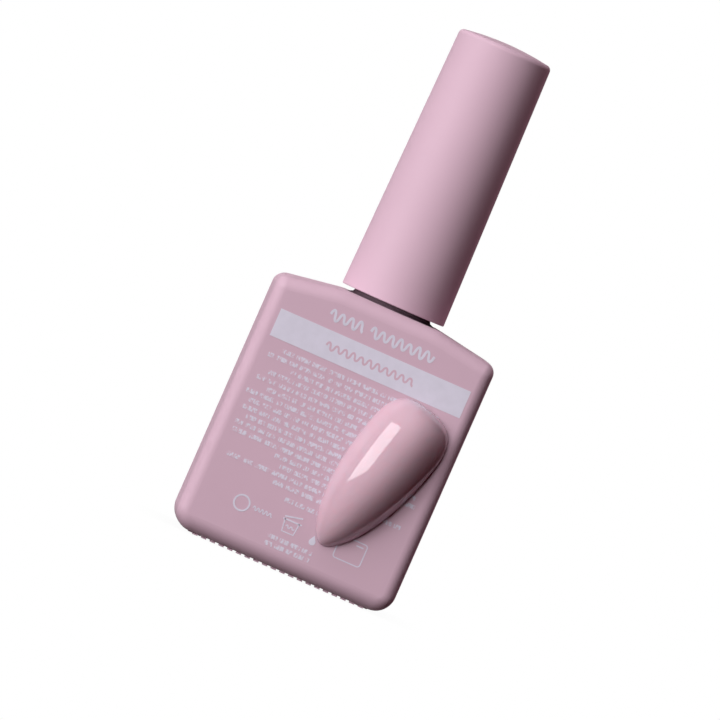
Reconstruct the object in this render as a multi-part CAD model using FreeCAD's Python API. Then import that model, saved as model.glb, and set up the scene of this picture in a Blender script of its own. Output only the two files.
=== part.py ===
"""Gel polish bottle: coated glass bottle, tall cap with brush, and a sample nail on the front panel.

Millimetres. The origin is the middle of the base on the floor, on the axis of the cap and the neck.
+Z points up through the cap, the front panel with the print and the nail faces -Y, +X is to its right.
"""

import math
import os

import FreeCAD
import Part

Vector = FreeCAD.Vector

# Bottle body, measured over the colour coat
BODY_HALF_WIDTH = 17.5
BODY_HALF_DEPTH = 11.0
COAT_BOTTOM = 0.24
COAT_THICKNESS = 0.12
SHOULDER_TOP = 41.28
SHOULDER_LAND = 7.4
SHOULDER_ANGLE = math.radians(9.2)
SIDE_BULGE = 0.5
SIDE_EDGE_RADIUS = 1.85
HEEL_RADIUS = 2.4
BROW_RADIUS = 2.1
BOTTOM_CORNER_RADIUS = 3.0
TOP_CORNER_RADIUS = 1.7
BODY_RADII = (SIDE_EDGE_RADIUS, HEEL_RADIUS, BROW_RADIUS, BOTTOM_CORNER_RADIUS, TOP_CORNER_RADIUS)

# Small bars under the base that keep the bottle from slipping
BAR_PITCH = 1.38
BAR_WIDTH = 0.8
BAR_LENGTH = 2.0
BARS_LONG_SIDE = 20
BARS_SHORT_SIDE = 9
BAR_ROW_X = 14.2
BAR_ROW_Y = 8.9
FOOT_RING_HALF_WIDTH = 8.5
FOOT_RING_HALF_DEPTH = 4.2
FOOT_RING_WIDTH = 0.8

# Hollow inside the glass
HOLLOW_HALF_WIDTH = 14.9
HOLLOW_HALF_DEPTH = 8.6
HOLLOW_BOTTOM = 3.3
HOLLOW_TOP = 38.9
HOLLOW_EDGE_RADIUS = 2.6
FILL_LEVEL = 33.2
FILL_WELL_RADIUS = 2.7
FILL_WELL_BOTTOM = 5.2

# Neck with a 13-415 finish
NECK_RADIUS = 5.70
NECK_TOP = 53.0
NECK_BORE_RADIUS = 4.0
NECK_RIM_ROUND = 0.35
NECK_COLLAR_RADIUS = 6.0
NECK_COLLAR_TOP = 42.6
NECK_COLLAR_STEP = 0.5
NECK_FLARE_RADIUS = 6.9
NECK_FLARE_HEIGHT = 0.6
THREAD_PITCH = 2.117
THREAD_START = 44.6
THREAD_TURNS = 2.0
THREAD_BURIED = 0.15
NECK_THREAD_CREST = 6.35
NECK_THREAD_WIDTH = 1.1

# Wiper plug in the neck
WIPER_FLANGE_RADIUS = 5.2
WIPER_FLANGE = 0.6
WIPER_WALL = 0.7
WIPER_BOTTOM = 43.5
WIPER_ORIFICE_RADIUS = 2.3
WIPER_CONE = 3.0
WIPER_LIP = 0.4

# Sealing washer
WASHER_RADIUS = 5.4
WASHER_HOLE_RADIUS = 2.3
WASHER_THICKNESS = 1.0

# Brush
STEM_RADIUS = 1.9
STEM_TIP_RADIUS = 1.75
STEM_BOTTOM = 20.5
STEM_FLANGE_RADIUS = 5.6
STEM_FLANGE = 1.2
SNAP_NECK_RADIUS = 1.9
SNAP_HEAD_RADIUS = 2.25
SNAP_HEAD = 0.8
TUFT_SOCKET_DEPTH = 3.2
TUFT_BOTTOM = 6.2
TUFT_HALF_WIDTH = 1.3
TUFT_HALF_THICKNESS = 0.75
TUFT_FLARE = 1.45
STAPLE_RADIUS = 0.2

# Inner cap
INNER_CAP_BOTTOM = 42.4
INNER_CAP_RADIUS = 7.3
INNER_CAP_BORE = 6.8
INNER_CAP_TOP_WALL = 1.2
INNER_THREAD_START = 45.2
INNER_THREAD_TURNS = 1.6
INNER_THREAD_CREST = 6.5
INNER_THREAD_WIDTH = 0.8

# Outer cap
CAP_BOTTOM = 42.0
CAP_TOP = 83.5
CAP_BOTTOM_RADIUS = 8.06
CAP_TOP_RADIUS = 7.26
CAP_CROWN = 0.5
CAP_EDGE_ROUND = 0.8
CAP_RIM_CHAMFER = 0.1
CAP_TOP_WALL = 1.5
CAP_CORE_BOTTOM_RADIUS = 6.4
CAP_CORE_TOP_RADIUS = 5.8

# Print on the front panel
INK = 0.03
TEXT_HEIGHT = 0.62
TEXT_FIRST_LINE = 29.6
TEXT_PITCH = 1.19
TEXT_HALF_LENGTHS = (
    12.3, 14.0, 9.9, 12.9, 14.2, 12.1, 14.8, 13.9,
    14.4, 13.3, 14.5, 14.4, 7.2, 5.9, 13.7, 5.9,
)
BARS_OF_PRINT = (
    # centre x, centre z, width, height
    (0.1, 37.3, 16.3, 1.9),
    (0.0, 33.05, 30.2, 4.2),
    (0.0, 10.1, 6.6, 0.75),
    (-5.5, 7.13, 3.2, 0.7),
    (0.1, 4.37, 7.0, 0.5),
    (0.1, 3.29, 7.0, 0.5),
)
PRINT_RING = (-8.8, 7.13, 1.3, 0.25)
PRINT_BOX = (8.4, 7.0, 4.2, 3.4, 0.22)
PRINT_JAR = (-0.9, 7.05, 3.1, 2.9)

# Sample nail
NAIL_TIP_X = 4.0
NAIL_TIP_Z = 6.2
NAIL_TILT = 15.8
NAIL_LENGTH = 25.0
NAIL_HALF_WIDTH = 5.9
NAIL_WIDEST = 17.4
NAIL_TIP_POWER = 0.58
NAIL_END_POWER = 0.34
NAIL_RISE = 5.2
NAIL_RISE_POWER = 1.2
NAIL_ARCH_POWER = 1.5
NAIL_BACK_Y = -11.12
NAIL_END_TRIM = 0.12
NAIL_SECTIONS = 12
NAIL_THICKNESS = 0.55
GEL_THICKNESS = 0.25
TAB_HALF_WIDTH = 2.6
TAB_ENDS = (8.5, 19.0)

# Wider than anything here, for cutting blocks
BEYOND = 60.0


def polygon(points):
    """A closed wire through points."""
    return Part.makePolygon(list(points) + [points[0]])


def turned(profile):
    """The solid swept by a closed profile of (radius, height) pairs round the Z axis."""
    wire = polygon([Vector(radius, 0, height) for radius, height in profile])
    return Part.Face(wire).revolve(Vector(0, 0, 0), Vector(0, 0, 1), 360)


def tube(outer, inner, bottom, top):
    """An upright tube on the Z axis."""
    return turned([(inner, bottom), (outer, bottom), (outer, top), (inner, top)])


def rod(radius, bottom, top):
    """An upright cylinder on the Z axis."""
    return Part.makeCylinder(radius, top - bottom, Vector(0, 0, bottom))


def block(x, y, z, width, depth, height):
    """A box centred on x and y that stands on z."""
    corner = Vector(x - width / 2, y - depth / 2, z)
    return Part.makeBox(width, depth, height, corner)


def round_edges(shape, radius_of_edge):
    """Round every edge of shape with the radius that radius_of_edge gives for it."""
    document = FreeCAD.newDocument("rounding")
    source = document.addObject("Part::Feature", "source")
    source.Shape = shape
    rounded = document.addObject("Part::Fillet", "rounded")
    rounded.Base = source
    edges = []
    for number, edge in enumerate(shape.Edges, 1):
        radius = radius_of_edge(edge)
        edges.append((number, radius, radius))
    rounded.Edges = edges
    document.recompute()
    result = rounded.Shape.Solids[0]
    FreeCAD.closeDocument(document.Name)
    return result


def bulging_prism(half_width, half_depth, bottom, top):
    """An upright prism with flat front and back and sides that bulge outwards."""
    corner = half_width - SIDE_BULGE
    line = Part.LineSegment
    outline = [
        line(Vector(-corner, -half_depth, bottom), Vector(corner, -half_depth, bottom)),
        side_arc(corner, half_width, half_depth, bottom),
        line(Vector(corner, half_depth, bottom), Vector(-corner, half_depth, bottom)),
        side_arc(-corner, -half_width, half_depth, bottom),
    ]
    edges = [piece.toShape() for piece in outline]
    return Part.Face(Part.Wire(Part.__sortEdges__(edges))).extrude(Vector(0, 0, top - bottom))


def side_arc(corner, middle, half_depth, z):
    """The curve of one side wall seen from above."""
    return Part.Arc(Vector(corner, -half_depth, z), Vector(middle, 0, z), Vector(corner, half_depth, z))


def roofed_block(half_width, half_depth, bottom, top, land, radii):
    """A rounded block with bulging sides whose top falls away at the shoulder angle from a flat land.

    radii are those of the upright edges, the heel, the brow, the bottom corners and the top corners.
    """
    side_radius, heel_radius, brow_radius, bottom_radius, top_radius = radii
    side_top = top - (half_width - land) * math.tan(SHOULDER_ANGLE)
    outline = [
        (-half_width, bottom),
        (half_width, bottom),
        (half_width, side_top),
        (land, top),
        (-land, top),
        (-half_width, side_top),
    ]
    face = Part.Face(polygon([Vector(x, -half_depth, z) for x, z in outline]))
    prism = bulging_prism(half_width, half_depth, bottom, top)
    solid = face.extrude(Vector(0, 2 * half_depth, 0)).common(prism)
    middle = (bottom + top) / 2

    def radius_of_edge(edge):
        box = edge.BoundBox
        low = box.Center.z < middle
        if box.ZLength > middle:
            return side_radius
        if box.YLength < 1.0:
            return heel_radius if low else brow_radius
        if abs(box.Center.x) < land + 1.0:
            return land
        return bottom_radius if low else top_radius

    return round_edges(solid, radius_of_edge)


def body_block(inset):
    """The outside of the bottle body, moved inwards by inset."""
    slope_shift = inset * (1 / math.cos(SHOULDER_ANGLE) - 1) / math.tan(SHOULDER_ANGLE)
    return roofed_block(
        BODY_HALF_WIDTH - inset,
        BODY_HALF_DEPTH - inset,
        COAT_BOTTOM + inset,
        SHOULDER_TOP - inset,
        SHOULDER_LAND - slope_shift,
        [radius - inset for radius in BODY_RADII],
    )


def hollow_block():
    """The space inside the glass body."""
    return roofed_block(
        HOLLOW_HALF_WIDTH,
        HOLLOW_HALF_DEPTH,
        HOLLOW_BOTTOM,
        HOLLOW_TOP,
        SHOULDER_LAND,
        [HOLLOW_EDGE_RADIUS] * 5,
    )


def base_bars():
    """Rows of small bars along the four sides of the base, flat underneath."""
    height = COAT_BOTTOM + 2 * COAT_THICKNESS
    bars = []
    for side in (-1, 1):
        for number in range(BARS_LONG_SIDE):
            x = (number - (BARS_LONG_SIDE - 1) / 2) * BAR_PITCH
            y = side * (BAR_ROW_Y - BAR_LENGTH / 2)
            bars.append(block(x, y, 0, BAR_WIDTH, BAR_LENGTH, height))
        for number in range(BARS_SHORT_SIDE):
            y = (number - (BARS_SHORT_SIDE - 1) / 2) * BAR_PITCH
            x = side * (BAR_ROW_X - BAR_LENGTH / 2)
            bars.append(block(x, y, 0, BAR_LENGTH, BAR_WIDTH, height))
    return bars


def oval(half_width, half_depth, height):
    """An upright oval disc that stands on the floor."""
    ellipse = Part.Ellipse(Vector(0, 0, 0), half_width, half_depth)
    return Part.Face(Part.Wire([ellipse.toShape()])).extrude(Vector(0, 0, height))


def foot_ring():
    """Oval ring in the middle of the base, level with the bars."""
    height = COAT_BOTTOM + 2 * COAT_THICKNESS
    outside = oval(FOOT_RING_HALF_WIDTH, FOOT_RING_HALF_DEPTH, height)
    hole = oval(FOOT_RING_HALF_WIDTH - FOOT_RING_WIDTH, FOOT_RING_HALF_DEPTH - FOOT_RING_WIDTH, height)
    return outside.cut(hole)


def thread_ridge(root, crest, start, turns, thickness):
    """A right-hand thread ridge between root and crest that fades into the root at both ends."""
    steps_per_turn = 24
    fade = 0.2
    steps = round(turns * steps_per_turn)
    path_points = []
    for step in range(steps + 1):
        turn = step / steps_per_turn
        end_distance = min(turn, turns - turn)
        sink = (crest - root) * max(0.0, 1 - end_distance / fade)
        angle = 2 * math.pi * turn
        radius = root - sink
        height = start + THREAD_PITCH * turn
        path_points.append(Vector(radius * math.cos(angle), radius * math.sin(angle), height))
    path = Part.BSplineCurve()
    path.interpolate(path_points)
    first_radius = path_points[0].x
    buried = math.copysign(THREAD_BURIED, crest - root)
    crest_radius = first_radius + crest - root
    profile = polygon([
        Vector(first_radius - buried, 0, start - thickness / 2),
        Vector(first_radius, 0, start - thickness / 2),
        Vector(crest_radius, 0, start - thickness / 5),
        Vector(crest_radius, 0, start + thickness / 5),
        Vector(first_radius, 0, start + thickness / 2),
        Vector(first_radius - buried, 0, start + thickness / 2),
    ])
    sweep = Part.BRepOffsetAPI.MakePipeShell(Part.Wire([path.toShape()]))
    sweep.setBiNormalMode(Vector(0, 0, 1))
    sweep.add(profile, False, False)
    sweep.build()
    sweep.makeSolid()
    return sweep.shape()


def neck_outside():
    """Neck with its collar and the flare where it meets the shoulder."""
    return turned([
        (0, HOLLOW_TOP),
        (NECK_FLARE_RADIUS, HOLLOW_TOP),
        (NECK_FLARE_RADIUS, SHOULDER_TOP),
        (NECK_COLLAR_RADIUS + NECK_FLARE_HEIGHT / 4, SHOULDER_TOP + NECK_FLARE_HEIGHT / 2),
        (NECK_COLLAR_RADIUS, SHOULDER_TOP + NECK_FLARE_HEIGHT),
        (NECK_COLLAR_RADIUS, NECK_COLLAR_TOP),
        (NECK_RADIUS, NECK_COLLAR_TOP + NECK_COLLAR_STEP),
        (NECK_RADIUS, NECK_TOP - NECK_RIM_ROUND),
        (NECK_RADIUS - NECK_RIM_ROUND, NECK_TOP),
        (0, NECK_TOP),
    ])


def glass_bottle():
    """Black glass bottle: hollow body, barred base and threaded neck."""
    thread = thread_ridge(NECK_RADIUS, NECK_THREAD_CREST, THREAD_START, THREAD_TURNS, NECK_THREAD_WIDTH)
    solid = body_block(COAT_THICKNESS).multiFuse([neck_outside(), thread, foot_ring()] + base_bars())
    return solid.cut(hollow_block()).cut(rod(NECK_BORE_RADIUS, HOLLOW_TOP - 3, NECK_TOP + 1))


def colour_coat(glass):
    """Thin coat over the glass body that leaves the neck bare."""
    neck_opening = rod(NECK_FLARE_RADIUS, SHOULDER_TOP - 3, NECK_TOP)
    return body_block(0).cut(body_block(COAT_THICKNESS)).cut(neck_opening).cut(glass)


def ink_bar(x, z, width, height):
    """A flat bar of ink on the front panel."""
    return block(x, -BODY_HALF_DEPTH - INK / 2, z - height / 2, width, INK, height)


def ink_frame(x, z, width, height, line):
    """The outline of a rectangle in ink."""
    bottom = z - height / 2 + line
    hole = block(x, -BODY_HALF_DEPTH, bottom, width - 2 * line, 1, height - 2 * line)
    return ink_bar(x, z, width, height).cut(hole)


def ink_ring(x, z, radius, line):
    """A ring of ink."""
    back = Vector(x, -BODY_HALF_DEPTH, z)
    outside = Part.makeCylinder(radius, INK, back, Vector(0, -1, 0))
    return outside.cut(Part.makeCylinder(radius - line, INK, back, Vector(0, -1, 0)))


def front_print():
    """Pale print: bars stand for the title, the shade name and the small lines, with no lettering."""
    marks = [ink_bar(*bar) for bar in BARS_OF_PRINT]
    for number, half_length in enumerate(TEXT_HALF_LENGTHS):
        marks.append(ink_bar(0, TEXT_FIRST_LINE - number * TEXT_PITCH, 2 * half_length, TEXT_HEIGHT))
    marks.append(ink_ring(*PRINT_RING))
    marks.append(ink_frame(*PRINT_BOX))
    marks.append(ink_bar(*PRINT_JAR))
    return Part.makeCompound(marks)


def neck_wiper():
    """Plug with a flange on the neck rim and a cone that strips the brush."""
    flange_top = NECK_TOP + WIPER_FLANGE
    cone_top = WIPER_BOTTOM + WIPER_CONE
    inner = NECK_BORE_RADIUS - WIPER_WALL
    return turned([
        (NECK_BORE_RADIUS, cone_top),
        (NECK_BORE_RADIUS, NECK_TOP),
        (WIPER_FLANGE_RADIUS, NECK_TOP),
        (WIPER_FLANGE_RADIUS, flange_top),
        (inner, flange_top),
        (inner, cone_top),
        (WIPER_ORIFICE_RADIUS, WIPER_BOTTOM + WIPER_LIP),
        (WIPER_ORIFICE_RADIUS, WIPER_BOTTOM),
        (WIPER_ORIFICE_RADIUS + WIPER_WALL, WIPER_BOTTOM),
    ])


def polish_fill():
    """Polish up to the fill level, open where the brush stands."""
    below = block(0, 0, 0, BEYOND, BEYOND, FILL_LEVEL)
    well = rod(FILL_WELL_RADIUS, FILL_WELL_BOTTOM, NECK_TOP)
    return hollow_block().common(below).cut(well)


def nail_half_width(along):
    """Half the nail's width at a distance from its tip."""
    if along < NAIL_WIDEST:
        share = 1 - along / NAIL_WIDEST
        return NAIL_HALF_WIDTH * (1 - share ** 2) ** NAIL_TIP_POWER
    share = (along - NAIL_WIDEST) / (NAIL_LENGTH - NAIL_WIDEST)
    return NAIL_HALF_WIDTH * (1 - share ** 3) ** NAIL_END_POWER


def nail_section(along, depth):
    """Arch across the nail, depth under its outside, closed along its back."""
    half_width = nail_half_width(along) - depth
    rise = NAIL_RISE * (nail_half_width(along) / NAIL_HALF_WIDTH) ** NAIL_RISE_POWER - depth
    left = Vector(-half_width, NAIL_BACK_Y, along)
    right = Vector(half_width, NAIL_BACK_Y, along)
    steps = 12
    points = []
    for step in range(steps + 1):
        angle = math.pi * step / steps
        height = rise * abs(math.sin(angle)) ** NAIL_ARCH_POWER
        points.append(Vector(-half_width * math.cos(angle), NAIL_BACK_Y - height, along))
    curve = Part.BSplineCurve()
    curve.interpolate(points)
    return Part.Wire([curve.toShape(), Part.LineSegment(right, left).toShape()])


def nail_dome(depth):
    """The solid almond dome that lies depth under the nail's outside, placed on the panel."""
    start = NAIL_END_TRIM + depth
    length = NAIL_LENGTH - 2 * start
    sections = []
    for step in range(NAIL_SECTIONS + 1):
        share = (1 - math.cos(math.pi * step / NAIL_SECTIONS)) / 2
        sections.append(nail_section(start + length * share, depth))
    dome = Part.makeLoft(sections, True)
    dome.rotate(Vector(0, 0, 0), Vector(0, 1, 0), NAIL_TILT)
    dome.translate(Vector(NAIL_TIP_X, 0, NAIL_TIP_Z))
    return dome


def nail_layer(outer_depth, inner_depth):
    """One layer of the nail between two depths under its outside."""
    return nail_dome(outer_depth).cut(nail_dome(inner_depth))


def adhesive_tab():
    """Round-ended tab that fills the space between the panel and the back of the nail."""
    front = NAIL_BACK_Y - NAIL_RISE
    back = -BODY_HALF_DEPTH - INK
    depth = back - front
    low, high = TAB_ENDS
    ends = [Part.makeCylinder(TAB_HALF_WIDTH, depth, Vector(0, front, z), Vector(0, 1, 0)) for z in TAB_ENDS]
    strip = block(0, (front + back) / 2, low, 2 * TAB_HALF_WIDTH, depth, high - low)
    tab = strip.fuse(ends).removeSplitter()
    tab.rotate(Vector(0, 0, 0), Vector(0, 1, 0), NAIL_TILT)
    tab.translate(Vector(NAIL_TIP_X, 0, NAIL_TIP_Z))
    under = nail_dome(GEL_THICKNESS + NAIL_THICKNESS)
    behind = back - NAIL_BACK_Y
    gap = tab.common(block(0, NAIL_BACK_Y + behind / 2, 0, BEYOND, behind, BEYOND))
    return tab.common(under).fuse(gap)


def sealing_washer():
    """Flat soft ring on top of the wiper."""
    bottom = NECK_TOP + WIPER_FLANGE
    return tube(WASHER_RADIUS, WASHER_HOLE_RADIUS, bottom, bottom + WASHER_THICKNESS)


def stem_flange_bottom():
    """Height of the underside of the stem's flange."""
    return NECK_TOP + WIPER_FLANGE + WASHER_THICKNESS


def cap_plate_bottom():
    """Height of the underside of the inner cap's top wall."""
    return stem_flange_bottom() + STEM_FLANGE


def cap_plate_top():
    """Height of the top of the inner cap."""
    return cap_plate_bottom() + INNER_CAP_TOP_WALL


def brush_stem():
    """Brush rod with a flange under the inner cap and a snap head above it."""
    flange = stem_flange_bottom()
    plate = cap_plate_bottom()
    top = cap_plate_top()
    socket_top = STEM_BOTTOM + TUFT_SOCKET_DEPTH
    body = turned([
        (0, STEM_BOTTOM),
        (STEM_TIP_RADIUS - 0.15, STEM_BOTTOM),
        (STEM_TIP_RADIUS, STEM_BOTTOM + 0.3),
        (STEM_RADIUS, socket_top + 6),
        (STEM_RADIUS, flange),
        (STEM_FLANGE_RADIUS, flange),
        (STEM_FLANGE_RADIUS, plate),
        (SNAP_NECK_RADIUS, plate),
        (SNAP_NECK_RADIUS, top),
        (SNAP_HEAD_RADIUS, top),
        (SNAP_NECK_RADIUS, top + SNAP_HEAD),
        (0, top + SNAP_HEAD),
    ])
    socket_width = 2 * TUFT_HALF_WIDTH
    socket = block(0, 0, STEM_BOTTOM - 1, socket_width, 2 * TUFT_HALF_THICKNESS, TUFT_SOCKET_DEPTH + 1)
    return body.cut(socket).cut(tuft_anchor())


def tuft_anchor():
    """Metal pin across the socket that the bristles are folded over."""
    height = STEM_BOTTOM + TUFT_SOCKET_DEPTH - 0.9
    length = 2 * TUFT_HALF_WIDTH + 0.5
    return Part.makeCylinder(STAPLE_RADIUS, length, Vector(-length / 2, 0, height), Vector(1, 0, 0))


def tuft_section(width_scale, thickness_scale, z):
    """Rectangle of the tuft at one height, as a wire."""
    x = TUFT_HALF_WIDTH * width_scale
    y = TUFT_HALF_THICKNESS * thickness_scale
    return polygon([Vector(-x, -y, z), Vector(x, -y, z), Vector(x, y, z), Vector(-x, y, z)])


def bristle_tuft():
    """Flat tuft that fills its socket, spreads a little and closes to a chisel tip."""
    sections = [
        tuft_section(1.0, 1.0, STEM_BOTTOM + TUFT_SOCKET_DEPTH),
        tuft_section(1.0, 1.0, STEM_BOTTOM),
        tuft_section(TUFT_FLARE, 1.15, (STEM_BOTTOM + TUFT_BOTTOM) / 2),
        tuft_section(1.0, 0.3, TUFT_BOTTOM),
    ]
    return Part.makeLoft(sections, True, True).cut(tuft_anchor())


def inner_cap():
    """Threaded inner cap that grips the brush stem."""
    solid = turned([
        (INNER_CAP_BORE, INNER_CAP_BOTTOM),
        (INNER_CAP_RADIUS, INNER_CAP_BOTTOM),
        (INNER_CAP_RADIUS, cap_plate_top()),
        (SNAP_NECK_RADIUS, cap_plate_top()),
        (SNAP_NECK_RADIUS, cap_plate_bottom()),
        (INNER_CAP_BORE, cap_plate_bottom()),
    ])
    thread = thread_ridge(
        INNER_CAP_BORE,
        INNER_THREAD_CREST,
        INNER_THREAD_START,
        INNER_THREAD_TURNS,
        INNER_THREAD_WIDTH,
    )
    return solid.fuse(thread)


def over_cap():
    """Tall tapered outer cap, a little domed on top and hollow above the inner cap."""
    crown_z = CAP_TOP - CAP_CROWN
    base = CAP_BOTTOM
    step_z = cap_plate_top()
    crown_half_width = CAP_TOP_RADIUS - CAP_EDGE_ROUND
    crown_radius = (crown_half_width ** 2 + CAP_CROWN ** 2) / (2 * CAP_CROWN)
    crown_angle = math.asin(crown_half_width / crown_radius) / 2
    corner = CAP_EDGE_ROUND * (1 - math.sin(math.pi / 4))
    line = Part.LineSegment
    rim_inner = Vector(CAP_BOTTOM_RADIUS - CAP_RIM_CHAMFER, 0, base)
    rim_outer = Vector(CAP_BOTTOM_RADIUS, 0, base + CAP_RIM_CHAMFER)
    edge = Vector(CAP_TOP_RADIUS, 0, crown_z - CAP_EDGE_ROUND)
    turn_middle = Vector(CAP_TOP_RADIUS - corner, 0, crown_z - corner)
    crown_edge = Vector(crown_half_width, 0, crown_z)
    crown_middle = Vector(
        crown_radius * math.sin(crown_angle),
        0,
        CAP_TOP - crown_radius * (1 - math.cos(crown_angle)),
    )
    outside = [
        line(Vector(0, 0, base), rim_inner),
        line(rim_inner, rim_outer),
        line(rim_outer, edge),
        Part.Arc(edge, turn_middle, crown_edge),
        Part.Arc(crown_edge, crown_middle, Vector(0, 0, CAP_TOP)),
        line(Vector(0, 0, CAP_TOP), Vector(0, 0, base)),
    ]
    wire = Part.Wire([piece.toShape() for piece in outside])
    solid = Part.Face(wire).revolve(Vector(0, 0, 0), Vector(0, 0, 1), 360)
    hollow = turned([
        (0, base - 1),
        (INNER_CAP_RADIUS, base - 1),
        (INNER_CAP_RADIUS, step_z),
        (CAP_CORE_BOTTOM_RADIUS, step_z),
        (CAP_CORE_TOP_RADIUS, CAP_TOP - CAP_TOP_WALL),
        (0, CAP_TOP - CAP_TOP_WALL),
    ])
    return solid.cut(hollow)


def main():
    """Build every node and write one STEP file for each."""
    glass = glass_bottle()
    nodes = {
        "glass_bottle": glass,
        "colour_coat": colour_coat(glass),
        "front_print": front_print(),
        "neck_wiper": neck_wiper(),
        "polish_fill": polish_fill(),
        "nail_tip": nail_layer(GEL_THICKNESS, GEL_THICKNESS + NAIL_THICKNESS),
        "nail_gel_coat": nail_layer(0, GEL_THICKNESS),
        "adhesive_tab": adhesive_tab(),
        "sealing_washer": sealing_washer(),
        "over_cap": over_cap(),
        "inner_cap": inner_cap(),
        "brush_stem": brush_stem(),
        "tuft_anchor": tuft_anchor(),
        "bristle_tuft": bristle_tuft(),
    }
    os.makedirs("parts", exist_ok=True)
    for name, shape in nodes.items():
        shape.exportStep(f"parts/{name}.step")
        box = shape.BoundBox
        print(
            f"{name}: {len(shape.Solids)} solid(s), valid {shape.isValid()}, {shape.Volume:.1f} mm3, "
            f"x {box.XMin:.2f}..{box.XMax:.2f}, "
            f"y {box.YMin:.2f}..{box.YMax:.2f}, "
            f"z {box.ZMin:.2f}..{box.ZMax:.2f}"
        )


main()
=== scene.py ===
import math
import random

import bpy
from mathutils import Matrix, Vector


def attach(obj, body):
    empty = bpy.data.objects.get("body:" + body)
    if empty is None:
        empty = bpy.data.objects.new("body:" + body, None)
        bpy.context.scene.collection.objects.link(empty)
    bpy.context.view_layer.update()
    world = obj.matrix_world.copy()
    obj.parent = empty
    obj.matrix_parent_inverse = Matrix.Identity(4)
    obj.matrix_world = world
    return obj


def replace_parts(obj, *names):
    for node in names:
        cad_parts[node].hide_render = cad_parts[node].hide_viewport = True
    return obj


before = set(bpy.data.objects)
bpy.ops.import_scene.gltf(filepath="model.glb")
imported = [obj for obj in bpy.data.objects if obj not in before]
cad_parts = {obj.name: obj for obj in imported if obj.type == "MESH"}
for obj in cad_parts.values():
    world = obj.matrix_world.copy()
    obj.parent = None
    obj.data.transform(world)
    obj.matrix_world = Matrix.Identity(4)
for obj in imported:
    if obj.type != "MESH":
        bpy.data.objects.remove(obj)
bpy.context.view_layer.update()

MM = 0.001

# Front panel and its print, millimetres
PANEL_Y = -11.0
INK = 0.03
TITLE_WORDS = ((-8.0, -2.75), (-1.65, 8.25))
TITLE_MIDDLE = 37.3
TITLE_HEIGHT = 1.9
TITLE_STROKE = 0.38
TITLE_WAVE = 1.4
BAND_LEFT = -14.9
BAND_RIGHT = 15.1
BAND_BOTTOM = 30.96
BAND_TOP = 35.17
SHADE_WORD = (-6.8, 7.0)
SHADE_MIDDLE = 32.95
SHADE_HEIGHT = 1.35
SHADE_STROKE = 0.3
SHADE_WAVE = 1.28
SHADE_LIFT = 0.01
FINE_STROKE = 0.16

# Wavy lines: points on each wave, how much and how fast their height swells, and how square they are
WAVE_POINTS = 20
WAVE_SWELL = 0.12
WAVE_SWELL_RATE = 0.37
WAVE_SWELL_START = 1
WAVE_SQUARENESS = 0.6

# Small print, millimetres: centred lines of short bars, and the lines at the foot as (middle, half length)
LINE_HALF_LENGTHS = (
    12.3, 14.0, 9.9, 12.9, 14.2, 12.1, 14.8, 13.9,
    14.4, 13.3, 14.5, 14.4, 7.2, 5.9, 13.7, 5.9,
)
FIRST_LINE = 29.6
LINE_PITCH = 1.19
LINE_HEIGHT = 0.66
BAR_ROUNDING = 0.12
SHORTEST_BAR = 0.8
LONGEST_BAR = 2.6
BAR_GAP = 0.36
LINE_SLACK = 0.4
FOOT_LINES = ((10.1, 3.3), (4.37, 3.5), (3.29, 3.5))
FOOT_LONGEST_BAR = 1.8
FOOT_GAP = 0.3
PRINT_SEED = 5

# Signs along the foot of the panel, millimetres
RING_CENTRE = (-8.8, 7.13)
RING_RADIUS = 1.15
RING_STROKE = 0.26
RING_WORD = (-7.0, -4.0)
RING_WORD_HEIGHT = 0.75
RING_WORD_WAVE = 0.62
JAR_BODY = ((-2.1, 7.6), (-1.9, 5.75), (-0.1, 5.75), (0.1, 7.6))
JAR_RIM = ((-2.4, 7.55), (0.5, 7.55))
JAR_LID = ((-2.3, 7.9), (0.3, 8.5))
JAR_STROKE = 0.2
LID_STROKE = 0.22
JAR_WORD = (-1.6, -0.3)
JAR_WORD_MIDDLE = 6.6
JAR_WORD_HEIGHT = 0.6
JAR_WORD_WAVE = 0.65
DROP_CENTRE = (2.8, 6.0)
DROP_RADIUS = 0.5
DROP_ARC = (150, 390)
DROP_TOP = 7.0
BOX_LEFT = 6.3
BOX_RIGHT = 10.5
BOX_BOTTOM = 5.3
BOX_TOP = 8.7
BOX_CORNER = 0.4
BOX_STROKE = 0.17
BOX_MARK = (8.9, 10.0, 8.0, 8.2)

# Where the coat reaches on the glass, millimetres above the floor
FOOT_COAT_TOP = 0.55
COLLAR_BOTTOM = 40.0
COLLAR_TOP = 42.4
COAT_EDGE = 0.1
# Share of coat pink on the collar: a thin overspray, kept low as painted shade from the cap that overhangs
# the collar
COLLAR_PINK_DIMMED_FOR_SHADE = 0.4

# Sample nail, millimetres and degrees; the powers shape its tip, its end, its rise and its arch
NAIL_TIP = (4.0, 6.2)
NAIL_TILT = 15.8
NAIL_LENGTH = 25.0
NAIL_HALF_WIDTH = 5.9
NAIL_WIDEST = 17.4
NAIL_TIP_POWER = 0.58
NAIL_END_POWER = 0.34
NAIL_RISE = 5.2
NAIL_RISE_POWER = 1.2
NAIL_ARCH_POWER = 1.5
GEL_THICKNESS = 0.25
GEL_ROWS = 90
GEL_COLUMNS = 64
NAIL_END_TRIM = 0.0001
NAIL_BACK_Y = -11.12

# Brush, millimetres
BRISTLES = 300
BRISTLE_SIDES = 6
BRISTLE_STEPS = 7
BRISTLE_ROOT_Z = 22.3
BRISTLE_SOCKET_Z = 20.5
BRISTLE_TIP_Z = 6.3
BRISTLE_RADIUS = 0.055
BRISTLE_TAPER = 0.55
BRISTLE_SEED = 11
TUFT_HALF_WIDTH = 1.22
TUFT_HALF_THICKNESS = 0.66
TUFT_SPREAD = 1.38
TUFT_SPREAD_RUN = 0.8
TUFT_TIP_CURVE = 1.3
TUFT_TIP_SCATTER = 0.35
TUFT_BELLY = 0.15
TUFT_THINNING = 0.7
WET_ABOVE = 17.5
WET_BELOW = 13.5
WET_UNEVENNESS = 2.5

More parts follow.
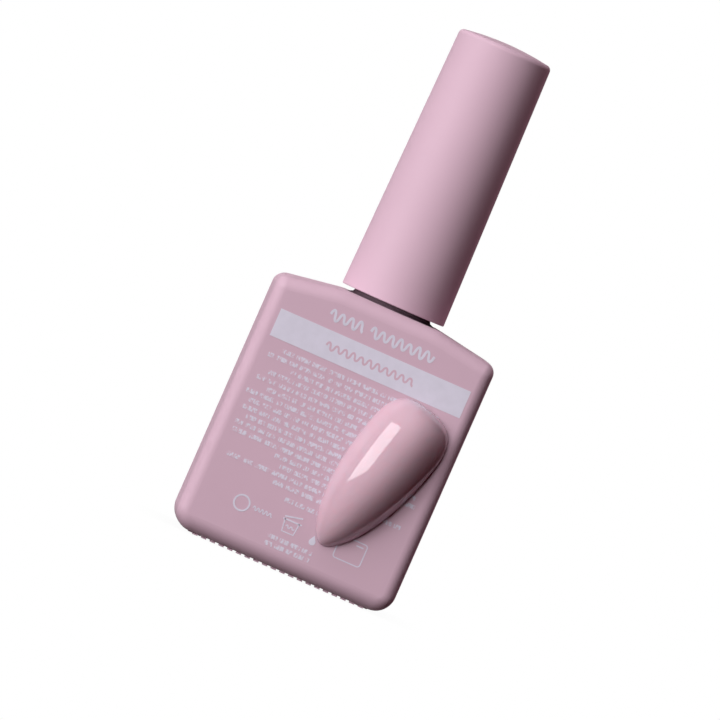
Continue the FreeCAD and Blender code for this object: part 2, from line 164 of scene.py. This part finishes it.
# Camera: the bottle leans, so the camera is rolled about its line of sight
CAMERA_DISTANCE = 1.2
CAMERA_AZIMUTH = -1.8
CAMERA_ELEVATION = 1.2
CAMERA_ROLL = 23.8
AIM = Vector((-1.32, -6.0, 32.8)) * MM
FIELD = 104.55 * MM
SENSOR = 36.0

# Floor, metres: it lies a hair under the base
FLOOR_Z = -0.00002
FLOOR_HALF = 3.0
CONTACT_SHADE_REACH = 0.006
CONTACT_SHADE = 0.96

# Lights: name, azimuth and elevation in degrees, distance, width and height in metres,
# power in watts, colour, and whether glossy surfaces mirror it
WHITE = (1, 1, 1)
BLUSH = (1, 0.72, 0.80)
LIGHT_HEIGHT = 0.035
LIGHTS = (
    ("key", -60, 11, 1.10, 0.72, 0.58, 4.3, WHITE, True),
    ("side", -34, 14, 1.10, 0.70, 0.60, 8.8, WHITE, False),
    ("high", -40, 58, 1.10, 0.80, 0.80, 4.9, WHITE, False),
    ("behind_left", -150, 20, 1.20, 0.80, 0.60, 6.5, WHITE, False),
    ("behind_right", 143, 20, 1.20, 0.80, 0.60, 5.5, BLUSH, False),
    ("under", 165, -42, 1.10, 0.80, 0.80, 3.0, WHITE, False),
)

# Range that a noise value mostly keeps to
NOISE_LOW = 0.3
NOISE_HIGH = 0.7

# Colours, linear
PINK = (0.625, 0.43, 0.525, 1)
INK_COLOUR = (0.68, 0.65, 0.76, 1)
GLASS_BLACK = (0.008, 0.004, 0.006, 1)
GEL_LIGHT = (0.675, 0.445, 0.525, 1)
GEL_DEEP = (0.65, 0.42, 0.50, 1)
STEEL_DULL = (0.6, 0.6, 0.6, 1)
STEEL_BRIGHT = (0.72, 0.72, 0.73, 1)
BRISTLE_DRY = (0.55, 0.50, 0.48, 1)
BRISTLE_WET = (0.60, 0.38, 0.45, 1)
ROOM_RED = (1.0, 0.08, 0.16, 1)
ROOM_STRENGTH = 0.030


# ---------------------------------------------------------------- materials

class Shader:
    """A material with its Principled node, and short ways to add nodes to it."""

    def __init__(self, name):
        self.material = bpy.data.materials.new(name)
        self.material.use_nodes = True
        self.nodes = self.material.node_tree.nodes
        self.links = self.material.node_tree.links
        self.main = self.nodes["Principled BSDF"]

    def set(self, **values):
        for key, value in values.items():
            self.main.inputs[key.replace("_", " ")].default_value = value
        return self

    def add(self, kind, **inputs):
        node = self.nodes.new(kind)
        for key, value in inputs.items():
            node.inputs[key.replace("_", " ")].default_value = value
        return node

    def link(self, source, target):
        self.links.new(source, target)

    def place(self, scale=(1, 1, 1)):
        """Object coordinates, scaled."""
        coordinates = self.add("ShaderNodeTexCoord")
        mapping = self.add("ShaderNodeMapping", Scale=scale)
        self.link(coordinates.outputs["Object"], mapping.inputs["Vector"])
        return mapping.outputs["Vector"]

    def noise(self, scale, detail=2.0, roughness=0.5, stretch=(1, 1, 1)):
        node = self.add("ShaderNodeTexNoise", Scale=scale, Detail=detail, Roughness=roughness)
        self.link(self.place(stretch), node.inputs["Vector"])
        return node.outputs["Fac"]

    def height(self):
        """Height above the floor, in metres."""
        coordinates = self.add("ShaderNodeTexCoord")
        split = self.add("ShaderNodeSeparateXYZ")
        self.link(coordinates.outputs["Object"], split.inputs["Vector"])
        return split.outputs["Z"]

    def spread(self, value, low, high, to_low=0.0, to_high=1.0):
        """value mapped from low..high to to_low..to_high, clamped."""
        node = self.add("ShaderNodeMapRange")
        for key, number in (("From Min", low), ("From Max", high), ("To Min", to_low), ("To Max", to_high)):
            node.inputs[key].default_value = number
        self.link(value, node.inputs["Value"])
        return node.outputs["Result"]

    def vary(self, noise, to_low=0.0, to_high=1.0):
        """Noise, which seldom leaves its middle range, mapped to to_low..to_high."""
        return self.spread(noise, NOISE_LOW, NOISE_HIGH, to_low, to_high)

    def compare(self, operation, first, second):
        node = self.nodes.new("ShaderNodeMath")
        node.operation = operation
        self.link(first, node.inputs[0])
        self.link(second, node.inputs[1])
        return node.outputs["Value"]

    def larger(self, first, second):
        return self.compare("MAXIMUM", first, second)

    def smaller(self, first, second):
        return self.compare("MINIMUM", first, second)

    def mix(self, factor, first, second):
        """A colour between first and second; each is a colour or a socket."""
        node = self.nodes.new("ShaderNodeMix")
        node.data_type = "RGBA"
        for key, value in (("A", first), ("B", second)):
            socket = [s for s in node.inputs if s.name == key and s.type == "RGBA"][0]
            if isinstance(value, bpy.types.NodeSocket):
                self.link(value, socket)
            else:
                socket.default_value = value
        self.link(factor, node.inputs["Factor"])
        return [s for s in node.outputs if s.type == "RGBA"][0]

    def colour(self, socket):
        self.link(socket, self.main.inputs["Base Color"])

    def rough(self, socket):
        self.link(socket, self.main.inputs["Roughness"])

    def bump(self, socket, distance, strength=1.0, before=None):
        node = self.add("ShaderNodeBump", Strength=strength, Distance=distance)
        self.link(socket, node.inputs["Height"])
        if before is not None:
            self.link(before, node.inputs["Normal"])
        self.link(node.outputs["Normal"], self.main.inputs["Normal"])
        return node.outputs["Normal"]


def soft_touch(name, base, deep):
    """Sprayed soft-touch coat: satin, with a faint orange peel and slight unevenness of colour."""
    shader = Shader(name).set(Specular_IOR_Level=0.35, Sheen_Weight=0.08, Sheen_Roughness=0.4)
    cloud = shader.noise(60, detail=3)
    shader.colour(shader.mix(shader.vary(cloud), base, deep))
    shader.rough(shader.vary(shader.noise(900, detail=2), 0.50, 0.58))
    peel = shader.bump(shader.noise(1100, detail=1), 0.000012, 0.35)
    shader.bump(shader.noise(9000, detail=2), 0.000003, 0.35, before=peel)
    return shader.material


def shaded(colour, factor):
    """A colour made darker or lighter."""
    return tuple(channel * factor for channel in colour[:3]) + (1,)


def black_glass():
    """Black glass; the bars under the base carry the pink coat. The collar at the foot of the neck carries a
    thin pink overspray, dimmed to a fraction of the coat's pink as painted shade from the cap above it.
    """
    shader = Shader("black_glass").set(IOR=1.52, Specular_IOR_Level=0.5)
    height = shader.height()
    foot = shader.spread(height, FOOT_COAT_TOP * MM, (FOOT_COAT_TOP - COAT_EDGE) * MM)
    below_neck = shader.spread(height, COLLAR_TOP * MM, (COLLAR_TOP - COAT_EDGE) * MM)
    above_shoulder = shader.spread(height, COLLAR_BOTTOM * MM, (COLLAR_BOTTOM + COAT_EDGE) * MM)
    collar = shader.smaller(below_neck, above_shoulder)
    # The collar takes only part of the pink: painted shade under the cap over a thin overspray of coat
    coat_and_collar_shade = shader.larger(foot, shader.spread(collar, 0, 1, 0, COLLAR_PINK_DIMMED_FOR_SHADE))
    shader.colour(shader.mix(coat_and_collar_shade, GLASS_BLACK, PINK))
    shader.rough(shader.spread(coat_and_collar_shade, 0, 1, 0.07, 0.5))
    shader.bump(shader.noise(220, detail=1), 0.00003, 0.3)
    return shader.material


def ink(name, strokes=False):
    """Screen-printed ink. The small print is broken up finely, so it reads as tiny marks."""
    shader = Shader(name).set(Specular_IOR_Level=0.3)
    cloud = shader.spread(shader.noise(700, detail=3), 0.35, 0.7)
    colour = shader.mix(cloud, INK_COLOUR, shaded(INK_COLOUR, 0.95))
    if strokes:
        marks = shader.noise(2600, detail=2, roughness=0.6, stretch=(1.5, 1, 0.7))
        colour = shader.mix(shader.spread(marks, 0.42, 0.56), PINK, colour)
    shader.colour(colour)
    shader.rough(shader.vary(shader.noise(1500), 0.48, 0.6))
    return shader.material


def gel(name):
    """Cured gel polish: wet gloss over an even pink with a little depth."""
    shader = Shader(name).set(
        IOR=1.5,
        Specular_IOR_Level=0.5,
        Subsurface_Weight=0.25,
        Subsurface_Scale=0.001,
        Subsurface_Radius=(1.0, 0.3, 0.35),
        Coat_Weight=1.0,
        Coat_Roughness=0.02,
    )
    cloud = shader.vary(shader.noise(160, detail=2))
    shader.colour(shader.mix(cloud, GEL_LIGHT, GEL_DEEP))
    shader.rough(shader.vary(shader.noise(500), 0.02, 0.04))
    shader.bump(shader.noise(130, detail=0), 0.00002, 0.12)
    return shader.material


def moulded(name, base, rough=0.4, grain=1800, clear=0.0, scatter=0.0):
    """Moulded plastic with a fine grain; scatter lets light into it and clear lets light through."""
    shader = Shader(name).set(Specular_IOR_Level=0.5, Transmission_Weight=clear)
    if scatter:
        shader.set(Subsurface_Weight=scatter, Subsurface_Scale=0.001, Subsurface_Radius=(1, 1, 1))
    cloud = shader.vary(shader.noise(300, detail=3))
    shader.colour(shader.mix(cloud, base, shaded(base, 0.92)))
    shader.rough(shader.vary(shader.noise(grain), rough - 0.05, rough + 0.05))
    shader.bump(shader.noise(grain, detail=2), 0.000006, 0.5)
    return shader.material


def foam(name, base):
    """Foamed polyethylene with small closed cells, with painted shade in their hollows."""
    shader = Shader(name).set(Specular_IOR_Level=0.3, Subsurface_Weight=0.2, Subsurface_Scale=0.0006)
    cells = shader.add("ShaderNodeTexVoronoi", Scale=4200)
    shader.link(shader.place(), cells.inputs["Vector"])
    distance = cells.outputs["Distance"]
    # Darker towards the middle of each cell, where the bump makes the hollow: painted shade in the cell
    # hollows
    shader.colour(shader.mix(shader.spread(distance, 0.0, 0.5), shaded(base, 0.85), base))
    shader.rough(shader.spread(distance, 0, 0.6, 0.75, 0.6))
    shader.bump(distance, 0.00004, 0.6)
    return shader.material


def steel():
    """Drawn steel wire."""
    shader = Shader("staple_steel").set(Metallic=1.0)
    scratches = shader.noise(900, detail=3, stretch=(0.1, 4, 4))
    shader.colour(shader.mix(shader.vary(scratches), STEEL_DULL, STEEL_BRIGHT))
    shader.rough(shader.vary(scratches, 0.25, 0.4))
    return shader.material


def bristle():
    """Nylon filament, wet with polish over its lower part."""
    shader = Shader("nylon_bristle")
    shader.set(Specular_IOR_Level=0.5, Subsurface_Weight=0.1, Subsurface_Scale=0.0003)
    wavy = shader.add("ShaderNodeMath")
    wavy.operation = "MULTIPLY_ADD"
    wavy.inputs[1].default_value = WET_UNEVENNESS * MM
    shader.link(shader.noise(500), wavy.inputs[0])
    shader.link(shader.height(), wavy.inputs[2])
    wet = shader.spread(wavy.outputs["Value"], WET_ABOVE * MM, WET_BELOW * MM)
    shader.colour(shader.mix(wet, BRISTLE_DRY, BRISTLE_WET))
    shader.rough(shader.spread(wet, 0, 1, 0.38, 0.12))
    return shader.material


# ---------------------------------------------------------------- mesh helpers

def new_piece(name, vertices, faces, material, body, smooth=True):
    """A mesh piece in millimetres that rides on a body and takes the given material."""
    mesh = bpy.data.meshes.new(name)
    mesh.from_pydata([Vector(v) * MM for v in vertices], [], faces)
    mesh.validate()
    mesh.update()
    if smooth:
        mesh.shade_smooth()
    mesh.materials.append(material)
    piece = bpy.data.objects.new(name, mesh)
    bpy.context.scene.collection.objects.link(piece)
    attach(piece, body)
    return piece


def circle_points(x, z, radius, start=0, end=360, steps=40):
    """Points of an arc, from one angle to another in degrees."""
    points = []
    for step in range(steps + 1):
        angle = math.radians(start + (end - start) * step / steps)
        points.append((x + radius * math.cos(angle), z + radius * math.sin(angle)))
    return points


def rounded_box(left, right, bottom, top, rounding):
    """Outline of a box with rounded corners."""
    corners = (
        (right - rounding, bottom + rounding, -90),
        (right - rounding, top - rounding, 0),
        (left + rounding, top - rounding, 90),
        (left + rounding, bottom + rounding, 180),
    )
    outline = []
    for x, z, start in corners:
        outline += circle_points(x, z, rounding, start, start + 90, steps=4)
    return outline


class InkSheet:
    """Collects flat marks on the front panel and turns them into one raised mesh."""

    def __init__(self):
        self.vertices = []
        self.faces = []

    def shape(self, outline):
        """A filled convex outline of (x, z) points, raised off the panel."""
        first = len(self.vertices)
        count = len(outline)
        for y in (PANEL_Y, PANEL_Y - INK):
            self.vertices += [(x, y, z) for x, z in outline]
        self.faces.append(tuple(first + count + i for i in range(count)))
        for i in range(count):
            j = (i + 1) % count
            self.faces.append((first + i, first + j, first + count + j, first + count + i))

    def bar(self, left, right, bottom, top):
        """A bar with square corners."""
        self.shape([(left, bottom), (right, bottom), (right, top), (left, top)])

    def stroke(self, points, width, closed=False):
        """A line of even width through points."""
        count = len(points)
        sides = []
        for i in range(count):
            before = points[i - 1] if closed or i > 0 else points[i]
            after = points[(i + 1) % count] if closed or i < count - 1 else points[i]
            along = Vector((after[0] - before[0], after[1] - before[1])).normalized()
            across = Vector((-along.y, along.x)) * width / 2
            here = Vector(points[i])
            sides.append((here - across, here + across))
        for i in range(count if closed else count - 1):
            j = (i + 1) % count
            self.shape([tuple(sides[i][0]), tuple(sides[j][0]), tuple(sides[j][1]), tuple(sides[i][1])])

    def squiggle(self, left, right, middle, height, width, period):
        """A wavy line that stands for a word. Its waves vary a little in height."""
        steps = round((right - left) / period * WAVE_POINTS)
        points = []
        for step in range(steps + 1):
            x = left + (right - left) * step / steps
            phase = 2 * math.pi * (x - left) / period
            swell = 1 - WAVE_SWELL + WAVE_SWELL * math.sin(phase * WAVE_SWELL_RATE + WAVE_SWELL_START)
            wave = math.copysign(abs(math.sin(phase)) ** WAVE_SQUARENESS, math.sin(phase))
            points.append((x, middle + swell * (height - width) / 2 * wave))
        self.stroke(points, width)

    def words(self, chance, middle, half, longest, gap, slack):
        """A centred line of rounded bars of chance lengths, which ends within slack of its full length."""
        x = -half
        while x < half - slack:
            length = min(chance.uniform(SHORTEST_BAR, longest), half - x)
            low = middle - LINE_HEIGHT / 2
            self.shape(rounded_box(x, x + length, low, low + LINE_HEIGHT, BAR_ROUNDING))
            x += length + gap

    def piece(self, name, material, slot="print_ink"):
        return new_piece(name, self.vertices, self.faces, material, "bottle", smooth=False)


# ---------------------------------------------------------------- print

def print_band(material):
    sheet = InkSheet()
    sheet.bar(BAND_LEFT, BAND_RIGHT, BAND_BOTTOM, BAND_TOP)
    return sheet.piece("print_band", material)


def print_title(material):
    sheet = InkSheet()
    for left, right in TITLE_WORDS:
        sheet.squiggle(left, right, TITLE_MIDDLE, TITLE_HEIGHT, TITLE_STROKE, TITLE_WAVE)
    return sheet.piece("print_title", material)


def print_lines(material):
    """Centred lines of short bars, in place of the small print."""
    chance = random.Random(PRINT_SEED)
    sheet = InkSheet()
    for number, half in enumerate(LINE_HALF_LENGTHS):
        sheet.words(chance, FIRST_LINE - number * LINE_PITCH, half, LONGEST_BAR, BAR_GAP, LINE_SLACK)
    for middle, half in FOOT_LINES:
        sheet.words(chance, middle, half, FOOT_LONGEST_BAR, FOOT_GAP, FOOT_GAP)
    return sheet.piece("print_lines", material)


def draw_ring(sheet):
    """A ring with a short wavy line beside it."""
    sheet.stroke(circle_points(*RING_CENTRE, RING_RADIUS)[:-1], RING_STROKE, closed=True)
    sheet.squiggle(*RING_WORD, RING_CENTRE[1], RING_WORD_HEIGHT, FINE_STROKE, RING_WORD_WAVE)


def draw_jar(sheet):
    """A jar with its lid tipped open."""
    sheet.stroke(JAR_BODY, JAR_STROKE)
    sheet.stroke(JAR_RIM, LID_STROKE)
    sheet.stroke(JAR_LID, LID_STROKE)
    sheet.squiggle(*JAR_WORD, JAR_WORD_MIDDLE, JAR_WORD_HEIGHT, FINE_STROKE, JAR_WORD_WAVE)


def draw_drop(sheet):
    """A drop: most of a circle drawn up to a point."""
    belly = circle_points(*DROP_CENTRE, DROP_RADIUS, *DROP_ARC, steps=16)
    sheet.shape(belly + [(DROP_CENTRE[0], DROP_TOP)])


def draw_box(sheet):
    """An empty box with a short dash in its corner."""
    sheet.stroke(rounded_box(BOX_LEFT, BOX_RIGHT, BOX_BOTTOM, BOX_TOP, BOX_CORNER), BOX_STROKE, closed=True)
    sheet.bar(*BOX_MARK)


def print_symbols(material):
    """Plain signs along the foot of the panel."""
    sheet = InkSheet()
    draw_ring(sheet)
    draw_jar(sheet)
    draw_drop(sheet)
    draw_box(sheet)
    return sheet.piece("print_symbols", material)


def print_shade(material):
    """Pink squiggle on the band, in place of the shade name."""
    sheet = InkSheet()
    sheet.squiggle(*SHADE_WORD, SHADE_MIDDLE, SHADE_HEIGHT, SHADE_STROKE, SHADE_WAVE)
    sheet.vertices = [(x, y - SHADE_LIFT, z) for x, y, z in sheet.vertices]
    return sheet.piece("print_shade", material, "soft_touch_coat")


# ---------------------------------------------------------------- nail

def nail_half_width(along):
    """Half the nail's width at a distance from its tip."""
    if along < NAIL_WIDEST:
        share = 1 - along / NAIL_WIDEST
        return NAIL_HALF_WIDTH * max(0.0, 1 - share ** 2) ** NAIL_TIP_POWER
    share = (along - NAIL_WIDEST) / (NAIL_LENGTH - NAIL_WIDEST)
    return NAIL_HALF_WIDTH * max(0.0, 1 - share ** 3) ** NAIL_END_POWER


def nail_to_panel(across, y, along):
    """From the nail's own axes to the bottle's."""
    tilt = math.radians(NAIL_TILT)
    x = NAIL_TIP[0] + across * math.cos(tilt) + along * math.sin(tilt)
    z = NAIL_TIP[1] - across * math.sin(tilt) + along * math.cos(tilt)
    return (x, y, z)


def nail_surface(depth, rows, columns):
    """Points of the arched surface that lies depth under the outside of the nail."""
    vertices = []
    for row in range(rows + 1):
        share = (1 - math.cos(math.pi * row / rows)) / 2
        along = depth + NAIL_END_TRIM + (NAIL_LENGTH - 2 * (depth + NAIL_END_TRIM)) * share
        outer_half_width = nail_half_width(along)
        half_width = outer_half_width - depth
        rise = NAIL_RISE * (outer_half_width / NAIL_HALF_WIDTH) ** NAIL_RISE_POWER - depth
        for column in range(columns + 1):
            angle = math.pi * column / columns
            y = NAIL_BACK_Y - rise * abs(math.sin(angle)) ** NAIL_ARCH_POWER
            vertices.append(nail_to_panel(-half_width * math.cos(angle), y, along))
    return vertices


def gel_layer(material):
    """Domed layer of gel over the sample nail, closed round its rim."""
    rows = GEL_ROWS
    columns = GEL_COLUMNS
    width = columns + 1
    inside = (rows + 1) * width
    vertices = nail_surface(0, rows, columns) + nail_surface(GEL_THICKNESS, rows, columns)
    faces = []
    for row in range(rows):
        for column in range(columns):
            first = row * width + column
            quad = (first, first + 1, first + 1 + width, first + width)
            faces.append(quad)
            faces.append(tuple(inside + corner for corner in reversed(quad)))
    rim = [row * width for row in range(rows)]
    rim += [rows * width + column for column in range(columns)]
    rim += [row * width + columns for row in range(rows, 0, -1)]
    rim += [column for column in range(columns, 0, -1)]
    for here, after in zip(rim, rim[1:] + rim[:1]):
        faces.append((here, after, inside + after, inside + here))
    return new_piece("nail_gel", vertices, faces, material, "bottle")


# ---------------------------------------------------------------- brush

def filament(chance):
    """Centre line of one bristle as (x, y, z, radius)."""
    angle = chance.uniform(0, 2 * math.pi)
    reach = math.sqrt(chance.random())
    across = reach * math.cos(angle)
    through = reach * math.sin(angle)
    tip = BRISTLE_TIP_Z + TUFT_TIP_CURVE * across ** 2 + chance.uniform(0, TUFT_TIP_SCATTER)
    line = []
    for step in range(BRISTLE_STEPS + 1):
        share = step / BRISTLE_STEPS
        z = BRISTLE_ROOT_Z + (tip - BRISTLE_ROOT_Z) * share
        out = max(0.0, (BRISTLE_SOCKET_Z - z) / (BRISTLE_SOCKET_Z - BRISTLE_TIP_Z))
        swell = 1 + (TUFT_SPREAD - 1) * math.sin(math.pi * min(1.0, out) * TUFT_SPREAD_RUN)
        thin = 1 + TUFT_BELLY * math.sin(math.pi * out) - TUFT_THINNING * out ** 2
        x = across * TUFT_HALF_WIDTH * swell
        y = through * TUFT_HALF_THICKNESS * thin
        radius = BRISTLE_RADIUS * (1 - BRISTLE_TAPER * share ** 3)
        line.append((x, y, z, radius))
    return line


def bristles(material):
    """A flat tuft of separate tapered filaments."""
    chance = random.Random(BRISTLE_SEED)
    sides = BRISTLE_SIDES
    vertices = []
    faces = []
    for _ in range(BRISTLES):
        line = filament(chance)
        first = len(vertices)
        for x, y, z, radius in line:
            for side in range(sides):
                angle = 2 * math.pi * side / sides
                vertices.append((x + radius * math.cos(angle), y + radius * math.sin(angle), z))
        for ring in range(len(line) - 1):
            low = first + ring * sides
            for side in range(sides):
                after = (side + 1) % sides
                faces.append((low + side, low + after, low + sides + after, low + sides + side))
        end = first + (len(line) - 1) * sides
        faces.append(tuple(end + side for side in range(sides)))
    return new_piece("bristles", vertices, faces, material, "cap")


# ---------------------------------------------------------------- stage

def direction(azimuth, elevation):
    """Unit vector from the bottle towards an azimuth and elevation in degrees."""
    turn = math.radians(azimuth)
    rise = math.radians(elevation)
    return Vector((math.sin(turn) * math.cos(rise), -math.cos(turn) * math.cos(rise), math.sin(rise)))


def camera():
    """A long lens almost square to the front panel, rolled so that the bottle leans."""
    data = bpy.data.cameras.new("camera")
    data.sensor_width = SENSOR
    data.lens = SENSOR * CAMERA_DISTANCE / FIELD
    data.clip_start = 0.01
    data.clip_end = 20
    away = direction(CAMERA_AZIMUTH, CAMERA_ELEVATION)
    eye = bpy.data.objects.new("camera", data)
    upright = away.to_track_quat("Z", "Y").to_matrix().to_4x4()
    roll = Matrix.Rotation(math.radians(CAMERA_ROLL), 4, "Z")
    eye.matrix_world = Matrix.Translation(AIM + away * CAMERA_DISTANCE) @ upright @ roll
    bpy.context.scene.collection.objects.link(eye)
    bpy.context.scene.camera = eye


def softbox(name, azimuth, elevation, distance, width, height, power, colour, mirrored):
    """A rectangular light aimed at the bottle. Azimuth 0 is in front, negative to the left.
    A mirrored one also shows as a reflection in glossy surfaces."""
    data = bpy.data.lights.new(name, "AREA")
    data.shape = "RECTANGLE"
    data.size = width
    data.size_y = height
    data.energy = power
    data.color = colour
    away = direction(azimuth, elevation)
    light = bpy.data.objects.new(name, data)
    place = Matrix.Translation(Vector((0, 0, LIGHT_HEIGHT)) + away * distance)
    light.matrix_world = place @ away.to_track_quat("Z", "Y").to_matrix().to_4x4()
    light.visible_glossy = mirrored
    bpy.context.scene.collection.objects.link(light)


def split_by_camera(tree, seen, lit, output):
    """Shows one shader to the camera and lights the scene with the other."""
    path = tree.nodes.new("ShaderNodeLightPath")
    choose = tree.nodes.new("ShaderNodeMixShader")
    tree.links.new(path.outputs["Is Camera Ray"], choose.inputs["Fac"])
    tree.links.new(lit, choose.inputs[1])
    tree.links.new(seen, choose.inputs[2])
    tree.links.new(choose.outputs["Shader"], output)


def backdrop():
    """White for the camera, dim and red as light."""
    world = bpy.data.worlds.new("studio")
    world.use_nodes = True
    bpy.context.scene.world = world
    tree = world.node_tree
    white = tree.nodes["Background"]
    white.inputs["Color"].default_value = (1, 1, 1, 1)
    white.inputs["Strength"].default_value = 1.0
    dim = tree.nodes.new("ShaderNodeBackground")
    dim.inputs["Color"].default_value = ROOM_RED
    dim.inputs["Strength"].default_value = ROOM_STRENGTH
    output = tree.nodes["World Output"].inputs["Surface"]
    split_by_camera(tree, white.outputs[0], dim.outputs[0], output)


def floor():
    """Plain white floor, faintly shaded where the bottle stands.
    Only the camera sees it, and only from above, so light passes through it."""
    corners = []
    for x, y in ((-1, -1), (1, -1), (1, 1), (-1, 1)):
        corners.append((x * FLOOR_HALF, y * FLOOR_HALF, FLOOR_Z))
    mesh = bpy.data.meshes.new("floor")
    mesh.from_pydata(corners, [], [(0, 1, 2, 3)])
    material = bpy.data.materials.new("floor")
    material.use_nodes = True
    tree = material.node_tree
    tree.nodes.remove(tree.nodes["Principled BSDF"])
    clear = tree.nodes.new("ShaderNodeBsdfTransparent")
    touch = tree.nodes.new("ShaderNodeAmbientOcclusion")
    touch.inputs["Distance"].default_value = CONTACT_SHADE_REACH
    shade = tree.nodes.new("ShaderNodeMapRange")
    shade.inputs["To Min"].default_value = CONTACT_SHADE
    tree.links.new(touch.outputs["AO"], shade.inputs["Value"])
    glow = tree.nodes.new("ShaderNodeEmission")
    tree.links.new(shade.outputs["Result"], glow.inputs["Strength"])
    side = tree.nodes.new("ShaderNodeNewGeometry")
    from_above = tree.nodes.new("ShaderNodeMixShader")
    tree.links.new(side.outputs["Backfacing"], from_above.inputs["Fac"])
    tree.links.new(glow.outputs[0], from_above.inputs[1])
    tree.links.new(clear.outputs[0], from_above.inputs[2])
    output = tree.nodes["Material Output"].inputs["Surface"]
    split_by_camera(tree, from_above.outputs[0], clear.outputs[0], output)
    mesh.materials.append(material)
    plane = bpy.data.objects.new("floor", mesh)
    bpy.context.scene.collection.objects.link(plane)


# ---------------------------------------------------------------- put together

def paint(node, material):
    """Give a CAD node its material."""
    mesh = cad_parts[node].data
    mesh.materials.clear()
    mesh.materials.append(material)


def main():
    coat = soft_touch("soft_touch_coat", PINK, shaded(PINK, 0.97))
    cap_coat = soft_touch("cap_coat", shaded(PINK, 1.03), PINK)
    ink_solid = ink("print_ink")
    ink_fine = ink("print_ink_fine", strokes=True)
    cured_gel = gel("cured_gel")

    paint("glass_bottle", black_glass())
    paint("colour_coat", coat)
    paint("over_cap", cap_coat)
    paint("inner_cap", moulded("black_plastic", (0.012, 0.011, 0.012, 1), rough=0.38))
    paint("neck_wiper", moulded("wiper_plastic", (0.78, 0.78, 0.76, 1), rough=0.32, clear=0.35, scatter=0.2))
    paint("polish_fill", gel("gel_polish"))
    paint("nail_tip", moulded("nail_plastic", (0.75, 0.62, 0.62, 1), rough=0.3, scatter=0.15))
    paint("adhesive_tab", moulded("clear_adhesive", (0.7, 0.66, 0.66, 1), rough=0.3, clear=0.4))
    paint("sealing_washer", foam("soft_washer", (0.74, 0.74, 0.72, 1)))
    paint("brush_stem", moulded("stem_plastic", (0.015, 0.014, 0.015, 1), rough=0.3))
    paint("tuft_anchor", steel())

    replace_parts(print_band(ink_solid), "front_print")
    print_title(ink_solid)
    print_shade(coat)
    print_lines(ink_fine)
    print_symbols(ink_solid)
    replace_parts(gel_layer(cured_gel), "nail_gel_coat")
    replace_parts(bristles(bristle()), "bristle_tuft")

    camera()
    for light in LIGHTS:
        softbox(*light)
    backdrop()
    floor()
    bpy.context.scene.view_settings.view_transform = "Standard"


main()
